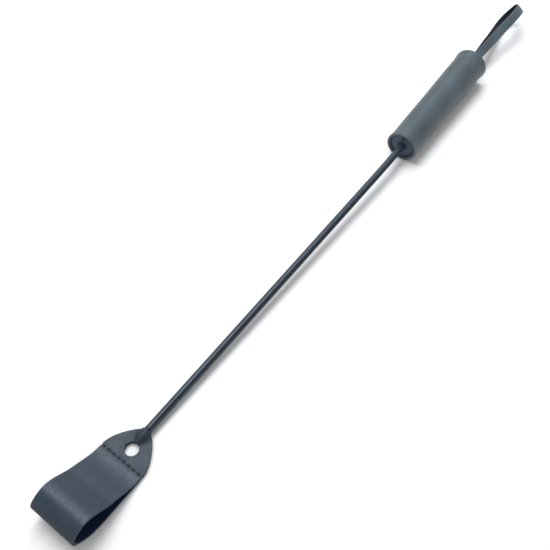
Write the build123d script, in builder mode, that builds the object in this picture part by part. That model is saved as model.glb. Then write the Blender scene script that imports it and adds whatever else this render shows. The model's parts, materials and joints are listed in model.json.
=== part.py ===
"""A short riding crop, built as separate pieces of leather, wood, fibreglass and thread.

It lies on a table, with +X running from the keeper to the hand loop and +Z up.
The origin is on the table, below the middle of the whole length. Millimetres.
"""

import os
from math import cos, radians, sin

from build123d import *

os.makedirs("parts", exist_ok=True)

# Driving dimensions
overall_length = 590.0
keeper_length = 77.0
keeper_width = 34.0
keeper_height = 23.0
keeper_leather = 1.7
keeper_hole_radius = 4.7
grip_length = 120.0
grip_low_radius = 12.9
grip_top_radius = 14.4
grip_leather = 1.8
shaft_radius = 2.8
core_radius = 1.75
loop_length = 96.0
loop_width = 8.2
loop_leather = 1.5
loop_roll = 35.0

# Places along X
fold_x = -overall_length / 2
keeper_entry_x = fold_x + keeper_length
loop_tip_x = overall_length / 2
grip_top_x = loop_tip_x - loop_length
grip_mouth_x = grip_top_x - grip_length
hinge_x = keeper_entry_x - 8.0
hole_x = hinge_x - 6.1
stitch_x = hinge_x - 15.2

# The grip lies on its two rims, turned a little away from the line of the shaft
grip_yaw = 4.0
grip_mouth = Vector(grip_mouth_x, 0, grip_low_radius)
grip_top = Vector(grip_top_x, grip_yaw, grip_top_radius)
grip_axis = (grip_top - grip_mouth).normalized()
rim_flare = 0.6
rim_length = 5.0
disc_recess = 1.0
disc_thickness = 2.0
core_end = 88.0  # how far the shaft core reaches into the grip

# The shaft runs straight from its tip to a short bend just outside the grip
tip_height = 3.6
tip_radius = 1.1
bend_length = 40.0
shaft_tip = Vector(hinge_x + keeper_leather + 0.5, 0, tip_height)
bend_corner = grip_mouth - grip_axis * (bend_length / 2)
shaft_axis = (bend_corner - shaft_tip).normalized()
bend_start = bend_corner - shaft_axis * (bend_length / 2)
taper_length = 28.0
tongue_length = 24.0
taper_start = shaft_tip + shaft_axis * taper_length
sleeve_start = shaft_tip + shaft_axis * (keeper_entry_x - shaft_tip.X)
sleeve_in_grip = 18.0

# Gap between leather on one side of a bend and leather on the other
bend_gap = 0.2

# Planes
side = Plane.XZ  # local x is +X and local y is +Z
roll = radians(loop_roll)
loop_across = Vector(0, cos(roll), sin(roll))
loop_across = (loop_across - grip_axis * loop_across.dot(grip_axis)).normalized()
grip_side = Plane(origin=grip_mouth, x_dir=grip_axis, z_dir=loop_across)
hinge_standoff = 3.5  # the hand loop bends this far outside the grip's top disc
loop_hinge = grip_top - grip_axis * disc_recess + grip_axis * hinge_standoff
loop_side = Plane(origin=loop_hinge, x_dir=grip_axis, z_dir=loop_across)
loop_span = loop_length + disc_recess - hinge_standoff


def shaft_line(start, end_in_grip):
    """The middle line of the shaft, from a point on it to a depth inside the grip."""
    with BuildLine() as line:
        Line(start, bend_start)
        Spline(bend_start, grip_mouth, tangents=[shaft_axis, grip_axis])
        Line(grip_mouth, grip_mouth + grip_axis * end_in_grip)
    return line.line


def grip_radius(along, inset=0.0):
    """The cover's plain outer radius at a distance from the mouth, less an inset."""
    share = along / grip_length
    plain = grip_low_radius - rim_flare
    return plain + (grip_top_radius - grip_low_radius) * share - inset


def save(part, label):
    part.label = label
    export_step(part, f"parts/{label}.step")


# Shaft core: a fibreglass rod with a tapered tip
with BuildPart() as shaft_core:
    with BuildSketch(Plane(taper_start, z_dir=shaft_axis)):
        Circle(core_radius)
    sweep(path=shaft_line(taper_start, core_end))
    with BuildSketch(Plane(taper_start, z_dir=shaft_axis)):
        Circle(core_radius)
    with BuildSketch(Plane(shaft_tip, z_dir=shaft_axis)):
        Circle(tip_radius)
    loft()
save(shaft_core.part, "shaft_core")

# Shaft sleeve: leather glued round the core, from the keeper into the grip
with BuildPart() as shaft_sleeve:
    with BuildSketch(Plane(sleeve_start, z_dir=shaft_axis)):
        Circle(shaft_radius)
        Circle(core_radius, mode=Mode.SUBTRACT)
    sweep(path=shaft_line(sleeve_start, sleeve_in_grip))
save(shaft_sleeve.part, "shaft_sleeve")

# Keeper root: the two leather layers moulded round the shaft's tip
root_end_x = hinge_x + keeper_leather + bend_gap
root_width = 19.4
root_lip_radius = shaft_radius + 0.4
bulge_radius = tip_radius + keeper_leather

with BuildPart() as whole_root:
    with BuildSketch(Plane(sleeve_start, z_dir=shaft_axis)):
        Circle(root_lip_radius)
    with BuildSketch(Plane((root_end_x, 0, keeper_leather), x_dir=(0, 1, 0), z_dir=(1, 0, 0))):
        SlotOverall(root_width, 2 * keeper_leather)
    loft()
    with BuildSketch(Plane(shaft_tip, z_dir=shaft_axis)):
        Circle(bulge_radius)
    extrude(amount=sleeve_start.X - shaft_tip.X)

with BuildPart() as keeper_root_front:
    add(split(whole_root.part, bisect_by=Plane.XY.offset(keeper_leather), keep=Keep.TOP))
    with BuildSketch(Plane(sleeve_start, z_dir=shaft_axis)):
        Circle(core_radius)
    extrude(amount=tongue_length - (sleeve_start - shaft_tip).length)
    add(shaft_core.part, mode=Mode.SUBTRACT)
save(keeper_root_front.part, "keeper_root_front")

with BuildPart() as keeper_root_back:
    add(split(whole_root.part, bisect_by=Plane.XY.offset(keeper_leather), keep=Keep.BOTTOM))
    add(shaft_core.part, mode=Mode.SUBTRACT)
save(keeper_root_back.part, "keeper_root_back")

# Keeper strap: one strip folded over, glued flat from the bend to the stitches
stitch_count = 8
stitch_pitch = 4.2
thread_radius = 0.35
stitch_hole_radius = 0.5
groove_width = 1.2
groove_height = 2.0  # half of it is cut into each face
stitch_row = (stitch_count - 1) * stitch_pitch
tab_thickness = 2 * keeper_leather
leaf_start_x = stitch_x - 2.0
leaf_open_x = leaf_start_x - 5.0
half_width = keeper_width / 2

# The folded leaf, from the stitches round to the table: distance from the fold,
# height, and the direction in degrees that its outer face looks in
leaf_places = [
    (32, 0.50 * keeper_height, 50),
    (10, keeper_height, 90),
    (0, 0.66 * keeper_height, 180),
    (6, 0.22 * keeper_height, 215),
    (26, 0, 270),
]


def leaf_points(inset):
    """Points of the leaf's outer face, moved inwards through the leather."""
    points = []
    for along, height, facing in leaf_places:
        turn = radians(facing)
        points.append((fold_x + along - inset * cos(turn), height - inset * sin(turn)))
    return points


with BuildPart() as keeper_strap:
    with BuildSketch(side):
        with BuildLine():
            nose = CenterArc((hinge_x, keeper_leather), keeper_leather, -90, 180)
            top_line = Line(nose @ 1, (leaf_start_x, tab_thickness))
            leaf = Spline(top_line @ 1, *leaf_points(0), tangents=[(-1, 0), (1, 0)])
            Line(leaf @ 1, nose @ 0)
        make_face()
        with BuildLine():
            opening = (leaf_open_x, keeper_leather)
            inside = leaf_points(keeper_leather)
            inner_leaf = Spline(opening, *inside, tangents=[(-1, 0.1), (1, 0)])
            Line(inner_leaf @ 1, opening)
        make_face(mode=Mode.SUBTRACT)
    extrude(amount=half_width, both=True)
    with BuildSketch(Plane.XY):
        with BuildLine():
            neck = (hinge_x + keeper_leather, root_width / 2)
            shoulder = (stitch_x, half_width)
            bow = ThreePointArc(neck, (hinge_x - 4.4, 0.81 * half_width), shoulder)
            Line(bow @ 1, (fold_x - 1, half_width))
            Line((fold_x - 1, half_width), (fold_x - 1, 0))
            Line((fold_x - 1, 0), (neck[0], 0))
            Line((neck[0], 0), neck)
        make_face()
        mirror(about=Plane.XZ)
    extrude(amount=keeper_height + 5, mode=Mode.INTERSECT)
    with Locations((hole_x, 0, 0)):
        Cylinder(keeper_hole_radius, 10, mode=Mode.SUBTRACT)
    with Locations((stitch_x, 0, 0)):
        with GridLocations(1, stitch_pitch, 1, stitch_count):
            Cylinder(stitch_hole_radius, 10, mode=Mode.SUBTRACT)
        with Locations((0, 0, 0), (0, 0, tab_thickness)):
            Box(groove_width, stitch_row + groove_width, groove_height, mode=Mode.SUBTRACT)
save(keeper_strap.part, "keeper_strap")

# Keeper stitching: one waxed thread laced through the row of holes and back
with BuildPart() as keeper_stitching:
    with Locations((stitch_x, 0, thread_radius + 0.1), (stitch_x, 0, tab_thickness)):
        Cylinder(thread_radius, stitch_row + 3 * thread_radius, rotation=(90, 0, 0))
    with Locations((stitch_x, 0, (thread_radius + tab_thickness) / 2)):
        with GridLocations(1, stitch_pitch, 1, stitch_count):
            Cylinder(0.9 * thread_radius, tab_thickness - thread_radius)
save(keeper_stitching.part, "keeper_stitching")

# Grip core: a turned wooden body, bored for the shaft and slotted for the loop's tails
core_inset = grip_leather
plug_start = disc_recess + disc_thickness
plug_end = grip_length - disc_recess - disc_thickness
slot_depth = 24.0
pin_radius = 1.25
pin_depth = 14.0  # from the core's top end to the pin
pin_place = grip_mouth + grip_axis * (plug_end - pin_depth)
pin_reach = grip_radius(plug_end - pin_depth, core_inset) - 0.3
pin_plane = Plane(pin_place, x_dir=grip_axis, z_dir=grip_side.y_dir)
slot_plane = Plane(grip_mouth + grip_axis * plug_end, x_dir=loop_across, z_dir=grip_axis)

with BuildPart() as grip_core:
    with BuildSketch(grip_side):
        with BuildLine():
            Polyline(
                (plug_start, 0),
                (plug_start, grip_radius(plug_start, core_inset)),
                (plug_end, grip_radius(plug_end, core_inset)),
                (plug_end, 0),
                close=True,
            )
        make_face()
    revolve(axis=Axis(grip_mouth, grip_axis))
    with BuildSketch(Plane(grip_mouth, z_dir=grip_axis)):
        Circle(shaft_radius)
    extrude(amount=sleeve_in_grip, mode=Mode.SUBTRACT)
    with BuildSketch(Plane(grip_mouth, z_dir=grip_axis)):
        Circle(core_radius)
    extrude(amount=core_end, mode=Mode.SUBTRACT)
    with BuildSketch(slot_plane):
        Rectangle(loop_width, 2 * loop_leather)
    extrude(amount=-slot_depth, mode=Mode.SUBTRACT)
    with BuildSketch(pin_plane):
        Circle(pin_radius)
    extrude(amount=pin_reach, both=True, mode=Mode.SUBTRACT)
save(grip_core.part, "grip_core")

# Grip cover: leather wrapped round the core, its two ends flared over the discs
with BuildPart() as grip_cover:
    with BuildSketch(grip_side):
        with BuildLine():
            low_end = Line((0, grip_radius(0, core_inset)), (0, grip_low_radius))
            low_flare = Spline(
                low_end @ 1,
                (rim_length, grip_radius(rim_length)),
                tangents=[(1, -0.25), (1, 0.01)],
            )
            top_x = grip_length - rim_length
            body = Line(low_flare @ 1, (top_x, grip_radius(top_x)))
            top_flare = Spline(
                body @ 1,
                (grip_length, grip_top_radius),
                tangents=[(1, 0.01), (1, 0.25)],
            )
            top_end = Line(top_flare @ 1, (grip_length, grip_radius(grip_length, core_inset)))
            Line(top_end @ 1, low_end @ 0)
        make_face()
    revolve(axis=Axis(grip_mouth, grip_axis))
save(grip_cover.part, "grip_cover")


def disc(start):
    """A leather disc that closes one end of the grip, inside the cover."""
    with BuildPart() as plate:
        with BuildSketch(grip_side):
            with BuildLine():
                Polyline(
                    (start, 0),
                    (start, grip_radius(start, core_inset)),
                    (start + disc_thickness, grip_radius(start + disc_thickness, core_inset)),
                    (start + disc_thickness, 0),
                    close=True,
                )
            make_face()
        revolve(axis=Axis(grip_mouth, grip_axis))
    return plate.part


# Grip discs: the lower one has the shaft through it, the top one the hand loop
with BuildPart() as grip_bottom_disc:
    add(disc(disc_recess))
    with BuildSketch(Plane(grip_mouth, z_dir=grip_axis)):
        Circle(shaft_radius)
    extrude(amount=plug_start, mode=Mode.SUBTRACT)
save(grip_bottom_disc.part, "grip_bottom_disc")

with BuildPart() as grip_top_disc:
    add(disc(plug_end))
    with BuildSketch(slot_plane):
        Rectangle(loop_width, 2 * loop_leather)
    extrude(amount=disc_thickness, mode=Mode.SUBTRACT)
save(grip_top_disc.part, "grip_top_disc")

# Hand loop tails: the strap's two ends, side by side in the core's slot
tail_reach = disc_thickness + hinge_standoff - loop_leather - bend_gap

with BuildPart() as hand_loop_tails:
    with BuildSketch(slot_plane.offset(-slot_depth)):
        for layer in (-0.5, 0.5):
            with Locations((0, layer * loop_leather)):
                Rectangle(loop_width, loop_leather)
    extrude(amount=slot_depth + tail_reach)
    with BuildSketch(pin_plane):
        Circle(pin_radius)
    extrude(amount=pin_reach, both=True, mode=Mode.SUBTRACT)
save(hand_loop_tails.part, "hand_loop_tails")

# Loop pin: a wooden peg through the core and both tails
with BuildPart() as loop_pin:
    with BuildSketch(pin_plane):
        Circle(pin_radius)
    extrude(amount=pin_reach, both=True)
save(loop_pin.part, "loop_pin")

# Hand loop: the strap outside the grip, folded at its far end
loop_half_height = 5.4
loop_shut_length = 6.0  # the two leaves lie together this far past the bend
fold_start = loop_span - 4.0


def leaf_curve(start, half_height, end, side_sign):
    """One leaf of the loop, from where it is flat to the middle of the fold."""
    return Spline(
        start,
        (0.45 * loop_span, side_sign * half_height),
        (fold_start, side_sign * 0.93 * half_height),
        (end, 0),
        tangents=[(1, 0), (0, -side_sign)],
    )


with BuildPart() as hand_loop:
    with BuildSketch(loop_side):
        with BuildLine():
            root = CenterArc((0, 0), loop_leather, 90, 180)
            leaf_curve(root @ 0, loop_half_height, loop_span, 1)
            leaf_curve(root @ 1, loop_half_height, loop_span, -1)
        make_face()
        with BuildLine():
            shut_end = (loop_shut_length, 0)
            inner_half_height = loop_half_height - loop_leather
            leaf_curve(shut_end, inner_half_height, loop_span - loop_leather, 1)
            leaf_curve(shut_end, inner_half_height, loop_span - loop_leather, -1)
        make_face(mode=Mode.SUBTRACT)
    extrude(amount=loop_width / 2, both=True)
save(hand_loop.part, "hand_loop")
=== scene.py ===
"""Looks for the riding crop: soft leather, waxed thread and a studio floor, built round the CAD frame.

Lengths are in metres. The crop lies along X, from the keeper at -X to the hand loop at +X.
"""

import json
from math import cos, exp, hypot, pi, radians, sin, sqrt

import bmesh
import bpy
from mathutils import Euler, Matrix, Quaternion, Vector, noise
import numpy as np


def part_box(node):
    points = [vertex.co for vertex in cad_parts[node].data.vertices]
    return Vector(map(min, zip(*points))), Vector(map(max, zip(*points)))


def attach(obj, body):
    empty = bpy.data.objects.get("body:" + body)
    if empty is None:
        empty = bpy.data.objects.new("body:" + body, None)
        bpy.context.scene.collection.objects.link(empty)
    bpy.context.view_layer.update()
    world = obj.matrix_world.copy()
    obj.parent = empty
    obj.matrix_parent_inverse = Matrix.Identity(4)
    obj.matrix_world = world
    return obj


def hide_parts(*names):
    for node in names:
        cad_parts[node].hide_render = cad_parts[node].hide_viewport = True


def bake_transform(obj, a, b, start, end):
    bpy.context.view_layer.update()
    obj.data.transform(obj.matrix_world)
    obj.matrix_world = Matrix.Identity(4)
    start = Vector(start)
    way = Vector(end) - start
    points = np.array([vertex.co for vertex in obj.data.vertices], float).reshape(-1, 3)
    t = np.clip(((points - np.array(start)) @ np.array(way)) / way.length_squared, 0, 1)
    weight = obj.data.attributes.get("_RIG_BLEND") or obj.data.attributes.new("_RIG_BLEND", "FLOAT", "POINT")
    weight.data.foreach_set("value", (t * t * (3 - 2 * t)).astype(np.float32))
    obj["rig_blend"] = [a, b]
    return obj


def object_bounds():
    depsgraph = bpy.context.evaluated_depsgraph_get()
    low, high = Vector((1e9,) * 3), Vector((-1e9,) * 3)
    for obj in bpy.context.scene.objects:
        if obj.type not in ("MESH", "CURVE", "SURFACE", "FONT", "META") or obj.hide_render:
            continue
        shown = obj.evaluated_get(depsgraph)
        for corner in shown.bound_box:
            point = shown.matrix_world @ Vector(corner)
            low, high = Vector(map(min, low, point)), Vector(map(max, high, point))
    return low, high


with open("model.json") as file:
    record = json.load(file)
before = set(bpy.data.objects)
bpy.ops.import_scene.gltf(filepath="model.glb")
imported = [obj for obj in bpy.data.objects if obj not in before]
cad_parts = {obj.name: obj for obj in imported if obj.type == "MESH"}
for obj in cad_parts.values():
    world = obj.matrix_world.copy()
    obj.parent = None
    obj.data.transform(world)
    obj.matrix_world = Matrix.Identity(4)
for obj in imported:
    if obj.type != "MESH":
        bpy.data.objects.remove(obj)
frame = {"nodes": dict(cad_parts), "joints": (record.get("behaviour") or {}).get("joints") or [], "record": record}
cad_low, cad_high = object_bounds()
MM = 0.001
UP = Vector((0, 0, 1))

# ---------------------------------------------------------------- places from the frame

joints = {joint["name"]: joint for joint in frame["joints"]}
mounts = {mount["name"]: mount for mount in frame["record"]["mounts"]}

# Sizes of the design that the frame doesn't state
KEEPER_LEATHER = 1.7 * MM
LOOP_LEATHER = 1.5 * MM
GRIP_LEATHER = 1.8 * MM
GRIP_LENGTH = 120 * MM
GRIP_LOW_RADIUS = 12.9 * MM
GRIP_TOP_RADIUS = 14.4 * MM
RIM_FLARE = 0.6 * MM
DISC_RECESS = 1.0 * MM
DISC_THICKNESS = 2.0 * MM
SLEEVE_RADIUS = 2.8 * MM
TIP_RADIUS = 1.1 * MM
BEND_LENGTH = 40 * MM  # the shaft's short bend, just outside the grip
LOOP_STANDOFF = 2.5 * MM  # the hand loop's hinge stands this far outside the grip

keeper_hinge = Vector(joints["keeper_bend"]["pos_m"])
loop_hinge = Vector(joints["hand_loop_bend"]["pos_m"])
loop_across = Vector(joints["hand_loop_bend"]["axis"]).normalized()

hinge_reach = GRIP_LENGTH + LOOP_STANDOFF
axis_y = loop_hinge.y / hinge_reach
axis_z = (loop_hinge.z - GRIP_LOW_RADIUS) / hinge_reach
grip_axis = Vector((sqrt(1 - axis_y**2 - axis_z**2), axis_y, axis_z))
grip_mouth = loop_hinge - grip_axis * hinge_reach
loop_up = grip_axis.cross(loop_across).normalized()
if loop_up.z < 0:
    loop_up.negate()

strap_low, strap_high = (Vector(corner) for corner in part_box("keeper_strap"))
thread_low, thread_high = (Vector(corner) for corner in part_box("keeper_stitching"))
sleeve_low = Vector(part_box("shaft_sleeve")[0])
core_low = Vector(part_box("shaft_core")[0])
fold_x = strap_low.x
keeper_height = strap_high.z
half_width = strap_high.y
stitch_x = (thread_low.x + thread_high.x) / 2
hole_x = mounts["keeper_hole"]["pos_m"][0]
hole_radius = mounts["keeper_hole"]["dims"]["r_mm"] * MM

shaft_tip = Vector((core_low.x, 0, core_low.z + TIP_RADIUS))
bend_corner = grip_mouth - grip_axis * BEND_LENGTH / 2
shaft_axis = (bend_corner - shaft_tip).normalized()
bend_start = bend_corner - shaft_axis * BEND_LENGTH / 2
sleeve_start = shaft_tip + shaft_axis * ((sleeve_low.x - shaft_tip.x) / shaft_axis.x)

# ---------------------------------------------------------------- small tools


def ease(low, high, value):
    """0 below low, 1 above high, and smooth between them."""
    share = min(max((value - low) / (high - low), 0), 1)
    return share * share * (3 - 2 * share)


def hump(distance, width):
    """1 at distance 0, falling away smoothly over about the width."""
    return exp(-((distance / width) ** 2))


def smooth_max(one, other, blend):
    """The larger of two values, with the corner between them rounded."""
    return (one + other + sqrt((one - other) ** 2 + blend * blend)) / 2


def cubic(start, start_slope, end, end_slope, share):
    """A point on the cubic curve between two points that leaves and arrives at given slopes."""
    square, cube = share**2, share**3
    return (
        start * (2 * cube - 3 * square + 1)
        + start_slope * (cube - 2 * square + share)
        + end * (3 * square - 2 * cube)
        + end_slope * (cube - square)
    )


def curve_through(points, first, last, steps=40):
    """A smooth line through 2-D points, with its end directions given."""
    slopes = [first.normalized()]
    for before, here, after in zip(points, points[1:], points[2:]):
        arriving, leaving = here - before, after - here
        slope = arriving.normalized() * leaving.length + leaving.normalized() * arriving.length
        slopes.append(slope.normalized())
    slopes.append(last.normalized())
    line = []
    for start, end, start_slope, end_slope in zip(points, points[1:], slopes, slopes[1:]):
        chord = (end - start).length
        for k in range(steps):
            line.append(cubic(start, start_slope * chord, end, end_slope * chord, k / steps))
    line.append(points[-1].copy())
    return line


def spaced(line, step):
    """The same line with points about a step apart."""
    lengths = [0.0]
    for start, end in zip(line, line[1:]):
        lengths.append(lengths[-1] + (end - start).length)
    count = max(2, round(lengths[-1] / step))
    points = []
    piece = 0
    for i in range(count + 1):
        wanted = lengths[-1] * i / count
        while piece < len(lengths) - 2 and lengths[piece + 1] < wanted:
            piece += 1
        share = (wanted - lengths[piece]) / max(lengths[piece + 1] - lengths[piece], 1e-12)
        points.append(line[piece].lerp(line[piece + 1], share))
    return points


def softened(line, passes):
    """The line with small changes of bend evened out; its ends stay in place."""
    for _ in range(passes):
        inner = [(a + 2 * b + c) / 4 for a, b, c in zip(line, line[1:], line[2:])]
        line = [line[0], *inner, line[-1]]
    return line


def new_object(name, tool, materials):
    """A smooth-shaded object from a mesh under construction."""
    mesh = bpy.data.meshes.new(name)
    tool.to_mesh(mesh)
    tool.free()
    thing = bpy.data.objects.new(name, mesh)
    bpy.context.scene.collection.objects.link(thing)
    for material in materials:
        mesh.materials.append(material)
    for face in mesh.polygons:
        face.use_smooth = True
    return thing


def settle(thing):
    """Applies a piece's modifiers, so that its mesh is final."""
    graph = bpy.context.evaluated_depsgraph_get()
    shown = thing.evaluated_get(graph)
    mesh = bpy.data.meshes.new_from_object(shown, preserve_all_data_layers=True, depsgraph=graph)
    thing.modifiers.clear()
    old = thing.data
    thing.data = mesh
    bpy.data.meshes.remove(old)
    return thing


# ---------------------------------------------------------------- materials


class Paint:
    """A new procedural material, with short ways to add its nodes."""

    def __init__(self, name):
        self.material = bpy.data.materials.new(name)
        self.material.use_nodes = True
        self.nodes = self.material.node_tree.nodes
        self.links = self.material.node_tree.links
        self.shader = self.nodes["Principled BSDF"]
        self.place = self.nodes.new("ShaderNodeTexCoord").outputs["Object"]

    def put(self, socket, value):
        """Links a node's output to a socket, or sets the socket to a number or a colour."""
        if isinstance(value, bpy.types.NodeSocket):
            self.links.new(value, socket)
        elif isinstance(value, tuple) and len(value) == 3 and socket.type == "RGBA":
            socket.default_value = (*value, 1)
        else:
            socket.default_value = value

    def shine(self, **values):
        """Sets numbers on the main shader; a name's underscores stand for spaces."""
        for name, value in values.items():
            self.shader.inputs[name.replace("_", " ")].default_value = value

    def noise(self, scale, detail=3.0, roughness=0.5, place=None):
        """Soft random spots; the scale is about their number in a metre."""
        node = self.nodes.new("ShaderNodeTexNoise")
        self.put(node.inputs["Vector"], place or self.place)
        self.put(node.inputs["Scale"], scale)
        self.put(node.inputs["Detail"], detail)
        self.put(node.inputs["Roughness"], roughness)
        return node.outputs["Fac"]

    def cells(self, scale, wobble):
        """Distance to the middles of small cells whose places a noise shifts a little."""
        node = self.nodes.new("ShaderNodeTexVoronoi")
        shift = self.nodes.new("ShaderNodeVectorMath")
        shift.operation = "MULTIPLY_ADD"
        self.put(shift.inputs[0], wobble)
        shift.inputs[1].default_value = (0.5 / scale,) * 3
        self.put(shift.inputs[2], self.place)
        self.put(node.inputs["Vector"], shift.outputs["Vector"])
        self.put(node.inputs["Scale"], scale)
        return node.outputs["Distance"]

    def stretched(self, scales):
        """Object coordinates scaled differently along X, Y and Z."""
        node = self.nodes.new("ShaderNodeVectorMath")
        node.operation = "MULTIPLY"
        self.put(node.inputs[0], self.place)
        node.inputs[1].default_value = scales
        return node.outputs["Vector"]

    def math(self, operation, *values):
        node = self.nodes.new("ShaderNodeMath")
        node.operation = operation
        for socket, value in zip(node.inputs, values):
            self.put(socket, value)
        return node.outputs["Value"]

    def ramp(self, value, *stops):
        """A colour ramp over a value; each stop is a place and a colour."""
        node = self.nodes.new("ShaderNodeValToRGB")
        elements = node.color_ramp.elements
        while len(elements) < len(stops):
            elements.new(0.5)
        for element, (place, colour) in zip(elements, stops):
            element.position = place
            element.color = (*colour, 1)
        self.put(node.inputs["Fac"], value)
        return node.outputs["Color"]

    def mix(self, blend, share, under, over):
        node = self.nodes.new("ShaderNodeMix")
        node.data_type = "RGBA"
        node.blend_type = blend
        self.put(node.inputs["Factor"], share)
        colours = [socket for socket in node.inputs if socket.type == "RGBA"]
        self.put(colours[0], under)
        self.put(colours[1], over)
        return [socket for socket in node.outputs if socket.type == "RGBA"][0]

    def attribute(self, name):
        node = self.nodes.new("ShaderNodeAttribute")
        node.attribute_name = name
        return node.outputs["Fac"]

    def bump(self, height, distance, strength, under=None):
        node = self.nodes.new("ShaderNodeBump")
        self.put(node.inputs["Height"], height)
        self.put(node.inputs["Distance"], distance)
        self.put(node.inputs["Strength"], strength)
        if under:
            self.put(node.inputs["Normal"], under)
        return node.outputs["Normal"]

    def finish(self, colour, roughness, normal):
        self.put(self.shader.inputs["Base Color"], colour)
        self.put(self.shader.inputs["Roughness"], roughness)
        self.put(self.shader.inputs["Normal"], normal)
        return self.material


def scaled(colour, factor):
    return tuple(min(1.0, channel * factor) for channel in colour)


def grey(value):
    return (value, value, value)


def leather(name, colour, rough=0.5, grain=1300, grain_depth=0.05 * MM, worn=0.3):
    """Grained leather. Attribute "edge" marks its worn edges, and "dent" its painted shade and its darker places
    such as seams and cut edges.
    """
    paint = Paint(name)
    broad = paint.noise(55, 4)
    mottle = paint.noise(420, 5, 0.6)
    fine = paint.noise(4200, 3, 0.6)
    cells = paint.cells(grain, paint.noise(900, 2))
    tone = paint.math("MULTIPLY_ADD", broad, 0.6, paint.math("MULTIPLY", mottle, 0.4))
    base = paint.ramp(tone, (0.38, scaled(colour, 0.82)), (0.62, scaled(colour, 1.2)))
    pore = paint.ramp(cells, (0.0, grey(0.8)), (0.35, grey(1.0)))
    base = paint.mix("MULTIPLY", 0.5, base, pore)
    wear = paint.math("MULTIPLY", paint.attribute("edge"), paint.math("MULTIPLY", mottle, worn))
    base = paint.mix("MIX", wear, base, scaled(colour, 2.4))
    dent = paint.attribute("dent")
    # darkens the colour where painted shade, dark seams and dark cut edges are marked
    base = paint.mix("MIX", dent, base, scaled(colour, 0.1))
    roughness = paint.ramp(mottle, (0.3, grey(rough - 0.07)), (0.7, grey(rough + 0.1)))
    roughness = paint.mix("MIX", dent, roughness, grey(0.95))
    relief = paint.math("MULTIPLY_ADD", fine, 0.35, cells)
    normal = paint.bump(relief, grain_depth, 0.5, paint.bump(broad, 0.4 * MM, 0.35))
    paint.shine(Specular_IOR_Level=0.45, Sheen_Weight=0.1, Sheen_Roughness=0.45)
    return paint.finish(base, roughness, normal)


def cut_leather(name, colour):
    """The burnished fibres of a cut edge."""
    paint = Paint(name)
    fibres = paint.noise(2600, 4, 0.7)
    layers = paint.noise(1, 3, 0.6, paint.stretched((300, 300, 3500)))
    base = paint.ramp(fibres, (0.3, scaled(colour, 0.6)), (0.7, scaled(colour, 1.3)))
    roughness = paint.ramp(fibres, (0.3, grey(0.45)), (0.7, grey(0.65)))
    normal = paint.bump(paint.math("ADD", fibres, layers), 0.08 * MM, 0.6)
    paint.shine(Specular_IOR_Level=0.4)
    return paint.finish(base, roughness, normal)


def flesh_side(name, colour):
    """The dull, fibrous inner side of the straps."""
    paint = Paint(name)
    fibres = paint.noise(1500, 5, 0.7)
    broad = paint.noise(120, 3)
    base = paint.ramp(fibres, (0.3, scaled(colour, 0.6)), (0.7, scaled(colour, 1.5)))
    patches = paint.ramp(broad, (0.3, grey(0.6)), (0.7, grey(1.0)))
    base = paint.mix("MULTIPLY", 0.5, base, patches)
    paint.shine(Specular_IOR_Level=0.12, Sheen_Weight=0.04, Sheen_Roughness=0.6)
    return paint.finish(base, 0.85, paint.bump(fibres, 0.15 * MM, 0.7))


def waxed_thread(name, colour):
    paint = Paint(name)
    strands = paint.noise(1, 3, 0.6, paint.stretched((2500, 900, 2500)))
    base = paint.ramp(strands, (0.3, scaled(colour, 0.6)), (0.7, scaled(colour, 1.6)))
    paint.shine(Specular_IOR_Level=0.5)
    return paint.finish(base, 0.42, paint.bump(strands, 0.08 * MM, 0.7))


def turned_wood(name, colour):
    paint = Paint(name)
    rings = paint.noise(1, 5, 0.6, paint.stretched((30, 500, 500)))
    pores = paint.noise(1, 3, 0.7, paint.stretched((250, 3500, 3500)))
    base = paint.ramp(rings, (0.35, scaled(colour, 0.6)), (0.65, scaled(colour, 1.15)))
    pore_tone = paint.ramp(pores, (0.4, grey(0.55)), (0.55, grey(1.0)))
    base = paint.mix("MULTIPLY", 0.4, base, pore_tone)
    roughness = paint.ramp(rings, (0.3, grey(0.5)), (0.7, grey(0.65)))
    paint.shine(Specular_IOR_Level=0.35)
    return paint.finish(base, roughness, paint.bump(pores, 0.05 * MM, 0.5))


def fibreglass(name, colour):
    paint = Paint(name)
    strands = paint.noise(1, 4, 0.6, paint.stretched((40, 5000, 5000)))
    base = paint.ramp(strands, (0.3, scaled(colour, 0.85)), (0.7, scaled(colour, 1.05)))
    paint.shine(Specular_IOR_Level=0.5, Coat_Weight=0.3, Coat_Roughness=0.2)
    return paint.finish(base, 0.32, paint.bump(strands, 0.03 * MM, 0.4))


KEEPER_TONE = (0.022, 0.031, 0.046)
GRIP_TONE = (0.065, 0.078, 0.086)
SHAFT_TONE = (0.02, 0.03, 0.043)
LOOP_TONE = (0.072, 0.09, 0.1)
DISC_TONE = (0.038, 0.058, 0.094)
KEEPER_FLESH_TONE = (0.008, 0.021, 0.056)
LOOP_FLESH_TONE = (0.008, 0.012, 0.016)
CUT_TONE = (0.014, 0.018, 0.026)
THREAD_TONE = (0.02, 0.026, 0.034)
WOOD_TONE = (0.45, 0.26, 0.12)
FIBREGLASS_TONE = (0.62, 0.6, 0.5)

keeper_paint = leather("keeper_leather", KEEPER_TONE, rough=0.46)
grip_paint = leather("grip_leather", GRIP_TONE, rough=0.52, grain_depth=0.09 * MM, worn=0.5)
shaft_paint = leather("shaft_leather", SHAFT_TONE, rough=0.34, grain=2200, grain_depth=0.03 * MM)
loop_paint = leather("loop_leather", LOOP_TONE, rough=0.52)
disc_paint = leather("disc_leather", DISC_TONE, rough=0.55)
keeper_flesh_paint = flesh_side("keeper_flesh_side", KEEPER_FLESH_TONE)
loop_flesh_paint = flesh_side("loop_flesh_side", LOOP_FLESH_TONE)
cut_paint = cut_leather("cut_leather", CUT_TONE)
thread_paint = waxed_thread("waxed_thread", THREAD_TONE)
wood_paint = turned_wood("turned_wood", WOOD_TONE)
fibreglass_paint = fibreglass("fibreglass", FIBREGLASS_TONE)

# ---------------------------------------------------------------- straps

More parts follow.
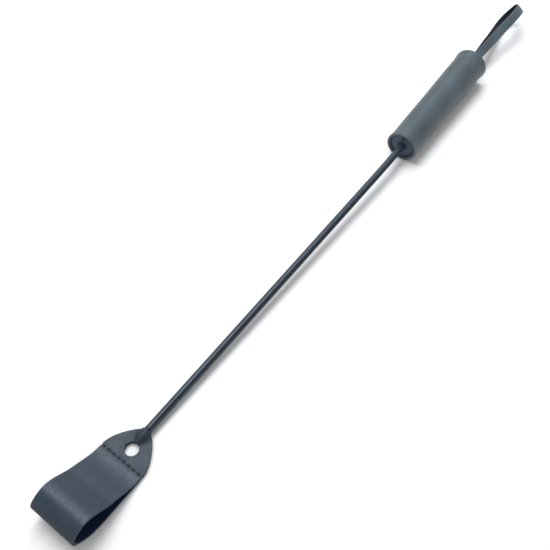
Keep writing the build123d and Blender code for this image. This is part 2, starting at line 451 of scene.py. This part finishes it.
MARKS = ("edge", "dent")  # what a leather's paint reads from each point of a mesh
LAYER_GAP = 0.06 * MM  # between two layers of leather that are glued or pressed together
CREASE = radians(50)  # an edge sharper than this is a cut edge, and is rounded


def new_point(tool, point, marks):
    """A vertex that carries its marks; the ones left out stay 0."""
    vertex = tool.verts.new(point)
    for mark, value in marks.items():
        vertex[tool.verts.layers.float[mark]] = value
    return vertex


def new_tool():
    """A mesh under construction, with a layer for each mark."""
    tool = bmesh.new()
    for mark in MARKS:
        tool.verts.layers.float.new(mark)
    return tool


def drop_loose_points(thing):
    """Removes the points that no face uses."""
    tool = bmesh.new()
    tool.from_mesh(thing.data)
    loose = [vertex for vertex in tool.verts if not vertex.link_faces]
    bmesh.ops.delete(tool, geom=loose, context="VERTS")
    tool.to_mesh(thing.data)
    tool.free()


def thicken(strap, thick, cut_round):
    """Gives a sheet its thickness at each point, then rounds its cut edges."""
    thickest = max(thick)
    group = strap.vertex_groups.new(name="thickness")
    for index, thickness in enumerate(thick):
        group.add([index], thickness / thickest, "REPLACE")
    drop_loose_points(strap)
    solid = strap.modifiers.new("thickness", "SOLIDIFY")
    solid.thickness = thickest
    solid.offset = 0
    solid.vertex_group = group.name
    solid.use_even_offset = True
    solid.material_offset = 1
    solid.material_offset_rim = 2
    rounding = strap.modifiers.new("rounding", "BEVEL")
    rounding.width = cut_round
    rounding.segments = 2
    rounding.limit_method = "ANGLE"
    rounding.angle_limit = CREASE
    return settle(strap)


def lay_strap(name, rows, columns, place, keep, materials, cut_round):
    """A strap laid as a grid of points, with a thickness at each.

    place(row, column) gives a point, its thickness and its marks; keep says which cells exist.
    The materials are those of the outer side, the inner side and the cut edge.
    """
    tool = new_tool()
    grid, thick = [], []
    for i in range(rows):
        line = []
        for j in range(columns):
            point, thickness, marks = place(i, j)
            line.append(new_point(tool, point, marks))
            thick.append(thickness)
        grid.append(line)
    for i in range(rows - 1):
        for j in range(columns - 1):
            if keep(i, j):
                tool.faces.new((grid[i][j], grid[i][j + 1], grid[i + 1][j + 1], grid[i + 1][j]))
    return thicken(new_object(name, tool, materials), thick, cut_round)


# ---------------------------------------------------------------- keeper

CELL = 0.5 * MM
HOLE_CELLS = 8  # the grid square of this half-size becomes the hole's edge
EVEN_CELLS = 16  # outside the square of this half-size the grid is undisturbed
SIDE_CELLS = 17  # from the even columns out to the keeper's side
LEAF_CELL = 0.65 * MM
LEAF_SOFTENING = 14
ROOT_HALF_WIDTH = 3.2 * MM
ROOT_OVERLAP = 0.6 * MM  # how far the tab reaches over the sleeve
FLAT_PAST_STITCHES = 2 * MM
STITCH_COUNT = 8
STITCH_PITCH = 4.2 * MM
STITCH_HOLE_DEPTH = 0.5 * MM
STITCH_GROOVE_DEPTH = 0.12 * MM
PARED_SHARE = 0.25  # what is left of the leather's thickness where it meets the shaft
PARED_LENGTH = 4.5 * MM
RIDGE_WIDTH = 2.2 * MM  # at the punched hole; it widens by the spread towards the shaft
RIDGE_SPREAD = 1.8 * MM
SWAY_HEIGHT = 0.25 * MM
TAB_SHADE = 0.12  # the tab's front is painted a little darker than the rest of the strap
# painted shade on the sides of the ridge over the shaft's end
RIDGE_SHADE = 0.7
# painted shade at the keeper's fold end
FOLD_SHADE = 0.85

tab_cells = round((sleeve_low.x + ROOT_OVERLAP - hole_x) / CELL)
tab_start_x = hole_x + tab_cells * CELL
tab_rows = round((tab_start_x - stitch_x + FLAT_PAST_STITCHES) / CELL)
front_height = 1.5 * KEEPER_LEATHER
back_height = 0.5 * KEEPER_LEATHER
stitch_places = [(k - (STITCH_COUNT - 1) / 2) * STITCH_PITCH for k in range(STITCH_COUNT)]

# The leaf's outer face from the stitches round the fold: distance from the fold in mm,
# height as a share of the keeper's, and the direction in degrees that the face looks in
LEAF = [
    (32, 0.50, 50),
    (10, 1.00, 90),
    (0, 0.66, 180),
    (6, 0.22, 215),
    (26, 0.00, 270),
]


def keeper_line():
    """Points (x, z) of the strap's middle surface from the front root round to the back root.

    Also gives the number of the last row of the front tab.
    """
    tab = [tab_start_x - k * CELL for k in range(tab_rows + 1)]
    corners = [Vector((tab[-1], front_height))]
    for along, height, facing in LEAF:
        inwards = Vector((cos(radians(facing)), sin(radians(facing)))) * (KEEPER_LEATHER / 2)
        corners.append(Vector((fold_x + along * MM, keeper_height * height)) - inwards)
    leaf = curve_through(corners, Vector((-1, 0)), Vector((1, 0)))
    leaf.append(Vector((tab[-1], back_height)))
    leaf = softened(spaced(leaf, LEAF_CELL), LEAF_SOFTENING)
    front = [Vector((x, front_height)) for x in tab[:-1]]
    back = [Vector((x, back_height)) for x in reversed(tab[:-1])]
    return front + leaf + back, len(front)


keeper_rows, front_tab_end = keeper_line()
back_tab_start = len(keeper_rows) - front_tab_end - 1
keeper_columns = 2 * (EVEN_CELLS + SIDE_CELLS) + 1


def keeper_half_width(x):
    """Half the keeper's width: an ogive from the shaft to the stitches, then parallel."""
    share = min(max((x - stitch_x) / (tab_start_x - stitch_x), 0), 1)
    ogive = ROOT_HALF_WIDTH + (half_width - ROOT_HALF_WIDTH) * (1 - share**1.8)
    waist_at_shaft = 0.7 * MM * hump(tab_start_x - 1.2 * MM - x, 1.3 * MM)
    pinch_at_stitches = 0.45 * MM * hump(x - stitch_x, 0.9 * MM)
    return ogive - waist_at_shaft - pinch_at_stitches


def column_place(j, half):
    """How far column j lies from the strap's middle line."""
    steps = j - (EVEN_CELLS + SIDE_CELLS)
    inner = min(EVEN_CELLS * CELL, 0.8 * half)
    size = abs(steps)
    if size <= EVEN_CELLS:
        distance = inner * size / EVEN_CELLS
    else:
        distance = inner + (half - inner) * (size - EVEN_CELLS) / SIDE_CELLS
    return distance if steps >= 0 else -distance


def round_the_hole(x, y):
    """Moves a point of the square grid so that the square round the hole becomes a circle."""
    from_x, from_y = x - hole_x, y
    square = max(abs(from_x), abs(from_y))
    low, high = HOLE_CELLS * CELL, EVEN_CELLS * CELL
    if square >= high or square < 1e-9:
        return x, y
    share = max(0.0, (square - low) / (high - low))
    reach = hypot(from_x, from_y)
    ring_x, ring_y = from_x / reach * hole_radius, from_y / reach * hole_radius
    edge_x, edge_y = from_x / square * high, from_y / square * high
    return hole_x + ring_x + (edge_x - ring_x) * share, ring_y + (edge_y - ring_y) * share


def shaft_height(x):
    """Height of the shaft's middle line."""
    return shaft_tip.z + (x - shaft_tip.x) * shaft_axis.z / shaft_axis.x


def tab_thickness(x):
    """The layers are pared thin where they meet the shaft."""
    full = ease(0, PARED_LENGTH, tab_start_x - x)
    return KEEPER_LEATHER * (PARED_SHARE + (1 - PARED_SHARE) * full) - LAYER_GAP


ridge_top = shaft_height(tab_start_x) + SLEEVE_RADIUS + tab_thickness(tab_start_x) / 2


def towards_shaft(x):
    """0 at the punched hole's edge, growing steadily to 1 where the tab meets the shaft."""
    hole_edge = hole_x + hole_radius + 0.2 * MM
    return smooth_max(0.0, (x - hole_edge) / (tab_start_x - hole_edge), 0.06)


def ridge(x, y):
    """Rise of the front layer where it is moulded over the shaft's end, and its steepness, which sets the painted
    shade on its sides.
    """
    share = towards_shaft(x)
    top = (ridge_top - front_height) * share**0.55
    across = abs(y) / (RIDGE_WIDTH + RIDGE_SPREAD * share)
    bell = exp(-across * across)
    return top * bell, min(1.0, top / (2 * MM)) * across * bell


def back_layer(x, y):
    """Height of the back layer's middle surface, which cups the shaft at its start."""
    radius = SLEEVE_RADIUS + tab_thickness(x) / 2
    cup = shaft_height(x) - sqrt(max(radius * radius - y * y, 0))
    share = ease(sleeve_low.x - 3.0 * MM, sleeve_low.x + 0.3 * MM, x)
    return back_height + (cup - back_height) * share


def pressed_by_thread(x, y):
    """How deep the thread's holes and groove are at a place, and the painted shade that darkens the holes."""
    in_row = abs(y) < stitch_places[-1] + 1 * MM
    depth = STITCH_GROOVE_DEPTH * hump(x - stitch_x, 0.55 * MM) * in_row
    shade = 0.0
    for place in stitch_places:
        near = hypot(x - stitch_x, y - place)
        depth += STITCH_HOLE_DEPTH * hump(near, 0.8 * MM)
        shade = max(shade, hump(near, 1.05 * MM))
    return depth, shade


def place_on_keeper(i, j):
    """A point of the keeper's middle surface, the thickness there and its marks."""
    x, z = keeper_rows[i]
    half = keeper_half_width(x)
    y = column_place(j, half)
    edge = hump(half - abs(y), 0.9 * MM)
    # painted shade darkens the strap round its fold end
    dent = FOLD_SHADE * hump(x - fold_x, 2.4 * MM)
    thickness = KEEPER_LEATHER - LAYER_GAP
    if i <= front_tab_end or i >= back_tab_start:
        x, y = round_the_hole(x, y)
        # painted shade in and round the stitch holes
        sink, dent = pressed_by_thread(x, y)
        if i <= front_tab_end:
            rise, steep = ridge(x, y)
            z = front_height + rise - sink
            # painted shade darkens the ridge's sides; the tab's front is also painted a little darker
            dent = max(dent, TAB_SHADE + RIDGE_SHADE * steep)
        else:
            z = back_layer(x, y) + sink
        thickness = tab_thickness(x)
        edge = max(edge, hump(hypot(x - hole_x, y) - hole_radius, 0.5 * MM))
    sway = noise.noise(Vector((x, y, z)) * 60) * SWAY_HEIGHT
    lift = sway * ease(0, 12 * MM, stitch_x - x)
    return Vector((x, y, z + max(lift, 0))), thickness, {"edge": edge, "dent": dent}


def keep_keeper_cell(i, j):
    """Leaves out the cells inside the punched hole."""
    if front_tab_end <= i < back_tab_start:
        return True
    x = (keeper_rows[i].x + keeper_rows[i + 1].x) / 2
    y = (column_place(j, half_width) + column_place(j + 1, half_width)) / 2
    return max(abs(x - hole_x), abs(y)) > HOLE_CELLS * CELL


keeper = lay_strap(
    "keeper_leather_strap",
    len(keeper_rows),
    keeper_columns,
    place_on_keeper,
    keep_keeper_cell,
    [keeper_paint, keeper_flesh_paint, cut_paint],
    cut_round=0.3 * MM,
)
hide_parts("keeper_strap", "keeper_root_front", "keeper_root_back")
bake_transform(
    keeper,
    "stick",
    "keeper",
    start=keeper_hinge + Vector((2.5 * MM, 0, 0)),
    end=keeper_hinge - Vector((4.5 * MM, 0, 0)),
)

# ---------------------------------------------------------------- tubes and turned shapes


def side_directions(direction, hint):
    """Two directions square to a line and to each other, the first nearest to the hint."""
    first = (hint - direction * hint.dot(direction)).normalized()
    return first, direction.cross(first)


def no_marks(*_):
    return {}


def no_change(*_):
    return 0.0


def ring_of_points(tool, centre, sides, segments, radius_at, marks_at):
    """Vertices round a centre; radius_at(angle) and marks_at(angle) describe each."""
    ring = []
    for k in range(segments):
        angle = 2 * pi * k / segments
        outwards = sides[0] * cos(angle) + sides[1] * sin(angle)
        ring.append(new_point(tool, centre + outwards * radius_at(angle), marks_at(angle)))
    return ring


def join_rings(tool, low, high):
    """Faces between two rings of the same number of points."""
    for k in range(len(low)):
        after = (k + 1) % len(low)
        tool.faces.new((low[k], low[after], high[after], high[k]))


def tube(name, line, radius_at, segments, materials, hint=UP, marks_at=no_marks):
    """A closed tube along a 3-D line; radius_at(i, angle) gives each point's distance."""
    tool = new_tool()
    rings = []
    for i, centre in enumerate(line):
        ahead = line[min(i + 1, len(line) - 1)] - line[max(i - 1, 0)]
        sides = side_directions(ahead.normalized(), hint)
        rings.append(
            ring_of_points(
                tool,
                centre,
                sides,
                segments,
                lambda angle: radius_at(i, angle),
                lambda angle: marks_at(i, angle),
            )
        )
    for low, high in zip(rings, rings[1:]):
        join_rings(tool, low, high)
    tool.faces.new(reversed(rings[0]))
    tool.faces.new(rings[-1])
    bmesh.ops.recalc_face_normals(tool, faces=tool.faces)
    return new_object(name, tool, materials)


def turned(name, profile, segments, materials, shape=no_change, marks_at=no_marks):
    """A ring turned round the grip's axis from a closed profile of (along, radius) points.

    shape(along, radius, angle) adds a little to each point's radius.
    """
    tool = new_tool()
    sides = side_directions(grip_axis, UP)
    rings = []
    for along, radius in profile:
        rings.append(
            ring_of_points(
                tool,
                grip_mouth + grip_axis * along,
                sides,
                segments,
                lambda angle: radius + shape(along, radius, angle),
                lambda angle: marks_at(along, radius, angle),
            )
        )
    for low, high in zip(rings, rings[1:] + rings[:1]):
        join_rings(tool, low, high)
    bmesh.ops.recalc_face_normals(tool, faces=tool.faces)
    return new_object(name, tool, materials)


# ---------------------------------------------------------------- shaft

SEAM_AT_KEEPER = radians(30)  # the sleeve's lengthwise seam, from straight up towards -Y
SEAM_AT_GRIP = radians(62)
SEAM_DEPTH = 0.28 * MM
SEAM_LAP = 0.12 * MM  # the sleeve's overlap stands this much proud beside the seam
LAP_ANGLE = 1.2
WAVER = 0.03 * MM
STRAIGHT_RINGS = 120
BEND_RINGS = 16
SLEEVE_IN_GRIP = 16 * MM
GRIP_RINGS = 8


def sleeve_points():
    """The shaft's middle line: straight, round the short bend, then on into the grip."""
    straight = (bend_start - sleeve_start).length
    line = []
    for k in range(STRAIGHT_RINGS + 1):
        line.append(sleeve_start + shaft_axis * straight * k / STRAIGHT_RINGS)
    for k in range(1, BEND_RINGS + 1):
        share = k / BEND_RINGS
        before = bend_start.lerp(bend_corner, share)
        after = bend_corner.lerp(grip_mouth, share)
        line.append(before.lerp(after, share))
    for k in range(1, GRIP_RINGS + 1):
        line.append(grip_mouth + grip_axis * SLEEVE_IN_GRIP * k / GRIP_RINGS)
    return line


sleeve_line = sleeve_points()


def off_seam(i, angle):
    """Angle from the sleeve's slowly winding seam, positive towards -Y."""
    seam = SEAM_AT_KEEPER + (SEAM_AT_GRIP - SEAM_AT_KEEPER) * i / len(sleeve_line)
    return (angle - seam + pi) % (2 * pi) - pi


def sleeve_radius(i, angle):
    """The sleeve's radius: sunk along the seam, proud where it laps over, and a little uneven."""
    away = off_seam(i, angle)
    groove = SEAM_DEPTH * hump(away, 0.16)
    lap = SEAM_LAP * (0 < away < LAP_ANGLE) * (1 - max(away, 0) / LAP_ANGLE)
    waver = WAVER * noise.noise(Vector((sleeve_line[i].x * 70, angle, 0)))
    return SLEEVE_RADIUS - groove + lap + waver


def sleeve_marks(i, angle):
    return {"dent": 0.9 * hump(off_seam(i, angle), 0.26)}


sleeve = tube("shaft_leather_sleeve", sleeve_line, sleeve_radius, 64, [shaft_paint], marks_at=sleeve_marks)
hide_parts("shaft_sleeve")
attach(sleeve, "stick")

# ---------------------------------------------------------------- grip

FLARE_LENGTH = 7 * MM
RIM_CORNER = 0.3 * MM
RIM_DEPTH = 4 * MM  # how far the rim's inner face reaches into the grip
COVER_RINGS = 150
GRIP_SEAM = pi  # along the underside
GRIP_SEAM_DEPTH = 0.35 * MM
UNEVENNESS = 0.16 * MM
DISC_RINGS = 24
DISC_THINNING = 0.7 * MM  # the low disc is this much thinner at its rim
DISC_LIP = 0.3 * MM  # and rounded by this much round its hole
DISC_CLEARANCE = 0.25 * MM


def plain_radius(along):
    """The cover's outer radius without its flared ends."""
    return GRIP_LOW_RADIUS - RIM_FLARE + (GRIP_TOP_RADIUS - GRIP_LOW_RADIUS) * along / GRIP_LENGTH


def cover_radius(along):
    """The cover's outer radius, with its flared ends."""
    low = RIM_FLARE * (1 - ease(0, FLARE_LENGTH, along))
    high = RIM_FLARE * ease(GRIP_LENGTH - FLARE_LENGTH, GRIP_LENGTH, along)
    return plain_radius(along) + low + high


def rim_profile(end, outwards):
    """From the outside, over the rim's two rounded corners and back inside the grip."""
    outer = cover_radius(end)
    inner = plain_radius(end) - GRIP_LEATHER
    ring = []
    for turn in (30, 60, 90):
        drop, step = 1 - sin(radians(turn)), 1 - cos(radians(turn))
        ring.append((end - outwards * RIM_CORNER * drop, outer - RIM_CORNER * step))
    for turn in (90, 60, 30, 0):
        drop, step = 1 - sin(radians(turn)), 1 - cos(radians(turn))
        ring.append((end - outwards * RIM_CORNER * drop, inner + RIM_CORNER * step))
    ring.append((end - outwards * RIM_DEPTH, inner))
    return ring


def cover_profile():
    """A closed profile: along the outside, round the top rim, back inside, round the low rim."""
    outside = []
    for k in range(COVER_RINGS + 1):
        along = RIM_CORNER + (GRIP_LENGTH - 2 * RIM_CORNER) * k / COVER_RINGS
        outside.append((along, cover_radius(along)))
    return outside + rim_profile(GRIP_LENGTH, 1) + rim_profile(0.0, -1)[::-1]


def on_outside(along, radius):
    return radius > plain_radius(along) - 0.4 * GRIP_LEATHER


def cover_shape(along, radius, angle):
    """Slight unevenness, and a skived seam along the underside."""
    place = Vector((along * 28, cos(angle) * 0.8, sin(angle) * 0.8))
    uneven = UNEVENNESS * noise.noise(place)
    seam = GRIP_SEAM_DEPTH * hump(angle - GRIP_SEAM, 0.035)
    return (uneven - seam) * on_outside(along, radius)


def cover_marks(along, radius, angle):
    """Worn rims, a dark seam, and the darker cut edge inside each rim."""
    from_end = min(abs(along), abs(GRIP_LENGTH - along))
    if on_outside(along, radius):
        return {"edge": hump(from_end, 1.0 * MM), "dent": 0.7 * hump(angle - GRIP_SEAM, 0.04)}
    return {"dent": 0.3 * (from_end < RIM_CORNER)}


cover = turned("grip_leather_cover", cover_profile(), 128, [grip_paint], cover_shape, cover_marks)
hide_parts("grip_cover")
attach(cover, "stick")


def low_disc_profile():
    """A flat leather ring that thins towards its rim and is rounded round its hole."""
    hole = SLEEVE_RADIUS + DISC_CLEARANCE
    outer = plain_radius(DISC_RECESS) - GRIP_LEATHER - 0.05 * MM
    back = DISC_RECESS + DISC_THICKNESS
    front = []
    for k in range(DISC_RINGS + 1):
        share = k / DISC_RINGS
        dip = DISC_THINNING * share**4 + DISC_LIP * hump(share, 0.06)
        front.append((DISC_RECESS + dip, hole + (outer - hole) * share))
    return front + [(back, outer), (back, hole)]


def low_disc_marks(_, radius, angle):
    """A dark streak painted above the rod, and painted shade in a ring round it."""
    dark_streak = hump(radius * sin(angle), 1.6 * MM) * ease(0, 0.4, cos(angle))
    around = hump(radius - SLEEVE_RADIUS, 2.0 * MM)
    return {"dent": max(0.8 * dark_streak, 0.4 * around)}


low_disc = turned("grip_low_disc", low_disc_profile(), 96, [disc_paint], marks_at=low_disc_marks)
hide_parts("grip_bottom_disc")
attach(low_disc, "stick")

# ---------------------------------------------------------------- hand loop

LOOP_HALF_WIDTH = 4.05 * MM
LOOP_HALF_HEIGHT = 5.4 * MM
TAIL_LENGTH = 26 * MM
SHUT_LENGTH = 3 * MM  # the leaves lie together this far past the hinge
LOOP_CURL = 0.25 * MM  # the strap's sides curl inwards
LOOP_CELL = 0.8 * MM
LOOP_COLUMNS = 17
loop_span = (cad_high.x - loop_hinge.x) / grip_axis.x
tail_height = LOOP_LEATHER / 2 + LAYER_GAP / 2


def loop_line():
    """Points (along, up) of the loop's middle surface, out along one leaf and back on the other."""
    middle = LOOP_LEATHER / 2
    shut = Vector((SHUT_LENGTH, tail_height))
    bulge = Vector((0.45 * loop_span, LOOP_HALF_HEIGHT - middle))
    turn = Vector((loop_span - 4 * MM, 0.93 * LOOP_HALF_HEIGHT - middle))
    tip = Vector((loop_span - middle, 0))
    leaf = curve_through([shut, bulge, turn, tip], Vector((1, 0)), Vector((0, -1)))
    leaf = [Vector((-TAIL_LENGTH, tail_height))] + leaf
    back = [Vector((point.x, -point.y)) for point in reversed(leaf[:-1])]
    return spaced(leaf + back, LOOP_CELL)


loop_rows = loop_line()


def place_on_loop(i, j):
    """A point of the hand loop's middle surface, the thickness there and its marks."""
    along, up = loop_rows[i]
    share = 1 - 2 * j / (LOOP_COLUMNS - 1)
    half = LOOP_HALF_WIDTH * (0.9 + 0.1 * ease(0, 40 * MM, along))
    across = half * share
    curl = LOOP_CURL * share * share * ease(2 * MM, 20 * MM, along) * (1 if up > 0 else -1)
    point = loop_hinge + grip_axis * along + loop_up * (up - curl) + loop_across * across
    return point, LOOP_LEATHER - LAYER_GAP, {"edge": hump(half - abs(across), 0.8 * MM)}


def keep_all(*_):
    return True


loop = lay_strap(
    "hand_loop_strap",
    len(loop_rows),
    LOOP_COLUMNS,
    place_on_loop,
    keep_all,
    [loop_paint, loop_flesh_paint, cut_paint],
    cut_round=0.35 * MM,
)
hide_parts("hand_loop", "hand_loop_tails")
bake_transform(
    loop,
    "stick",
    "hand_loop",
    start=loop_hinge - grip_axis * 2.0 * MM,
    end=loop_hinge + grip_axis * 5.0 * MM,
)

# ---------------------------------------------------------------- stitching

THREAD_RADIUS = 0.32 * MM
STITCH_STEPS = 12
THREAD_SINK = 1.3 * MM  # how far the thread dips below each face at a hole
BACK_ARCH = 0.85 * MM  # behind, the thread stays inside its groove
LOBE = 0.16
TWIST_STEP = 0.9  # radians from one ring of the thread to the next


def stitch_line():
    """One saddle-stitched thread: across on the front, through the last hole, back behind."""
    low_front = 2 * KEEPER_LEATHER - THREAD_SINK
    front, back = [], []
    for start, end in zip(stitch_places, stitch_places[1:]):
        for k in range(STITCH_STEPS):
            share = k / STITCH_STEPS
            arch = sin(pi * share) ** 0.5
            y = start + (end - start) * share
            front.append(Vector((stitch_x, y, low_front + THREAD_SINK * arch)))
            back.append(Vector((stitch_x, y, THREAD_SINK - BACK_ARCH * arch)))
    last = Vector((stitch_x, stitch_places[-1], low_front))
    return front + [last] + back[::-1]


def twisted(i, angle):
    """Two strands laid together give the thread its two-lobed section."""
    return THREAD_RADIUS * (1 + LOBE * cos(2 * angle + i * TWIST_STEP))


thread = tube("keeper_thread", stitch_line(), twisted, 10, [thread_paint], hint=Vector((1, 0, 0)))
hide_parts("keeper_stitching")
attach(thread, "keeper")

# ---------------------------------------------------------------- CAD pieces that stay


def repaint(node, material):
    """Gives a CAD piece that keeps its shape a finished material."""
    mesh = frame["nodes"][node].data
    mesh.materials.clear()
    mesh.materials.append(material)


repaint("shaft_core", fibreglass_paint)
repaint("grip_core", wood_paint)
repaint("loop_pin", wood_paint)
repaint("grip_top_disc", disc_paint)

# ---------------------------------------------------------------- floor, light and camera

FLOOR_TONE = (0.97, 0.88, 0.82)  # warm, so that it looks white in the cool light
FLOOR_HALF_SIZE = 6
FLOOR_DROP = 0.05 * MM  # keeps the floor clear of the leather that rests on it
SKY = (0.82, 0.91, 1.0)
SKY_STRENGTH = 0.55
DAYLIGHT = (0.82, 0.92, 1.0)
CAMERA_AZIMUTH = -53.2
CAMERA_ELEVATION = 56.1
CAMERA_ROLL = 0.8
CAMERA_LENS = 47.1
CAMERA_PLACE = (-0.3062, -0.1640, 0.4322)


def floor_material():
    paint = Paint("floor")
    speckle = paint.noise(25, 2)
    base = paint.ramp(speckle, (0.3, FLOOR_TONE), (0.7, scaled(FLOOR_TONE, 1.02)))
    return paint.finish(base, 0.9, paint.bump(speckle, 0.01 * MM, 0.05))


def lay_floor():
    tool = bmesh.new()
    bmesh.ops.create_grid(tool, x_segments=1, y_segments=1, size=FLOOR_HALF_SIZE)
    floor = new_object("floor", tool, [floor_material()])
    floor.location.z = -FLOOR_DROP


def open_sky():
    world = bpy.data.worlds.new("studio")
    bpy.context.scene.world = world
    world.use_nodes = True
    background = world.node_tree.nodes["Background"]
    background.inputs["Color"].default_value = (*SKY, 1)
    background.inputs["Strength"].default_value = SKY_STRENGTH


def soft_box(name, place, target, size, power):
    """A rectangular studio light that shines from a place towards a target."""
    light = bpy.data.lights.new(name, "AREA")
    light.shape = "RECTANGLE"
    light.size, light.size_y = size
    light.energy = power
    light.color = DAYLIGHT
    lamp = bpy.data.objects.new(name, light)
    lamp.location = place
    lamp.rotation_mode = "QUATERNION"
    lamp.rotation_quaternion = (Vector(target) - Vector(place)).to_track_quat("-Z", "Y")
    bpy.context.scene.collection.objects.link(lamp)


def set_camera():
    lens = bpy.data.cameras.new("camera")
    lens.lens = CAMERA_LENS
    lens.sensor_width = 36
    lens.clip_start, lens.clip_end = 0.01, 20
    camera = bpy.data.objects.new("camera", lens)
    camera.rotation_mode = "QUATERNION"
    upright = Euler((radians(90 - CAMERA_ELEVATION), 0, radians(CAMERA_AZIMUTH))).to_quaternion()
    camera.rotation_quaternion = upright @ Quaternion((0, 0, 1), radians(CAMERA_ROLL))
    camera.location = CAMERA_PLACE
    bpy.context.scene.collection.objects.link(camera)
    bpy.context.scene.camera = camera


lay_floor()
open_sky()
soft_box("key", place=(0.08, 0.4, 1.1), target=(-0.1, 0, 0), size=(0.9, 0.6), power=13)
soft_box("grip_side", place=(0.9, 0.5, 1.0), target=(0.1, 0, 0), size=(0.6, 0.6), power=4)
set_camera()
bpy.context.scene.view_settings.view_transform = "Standard"
bpy.context.scene.view_settings.look = "None"
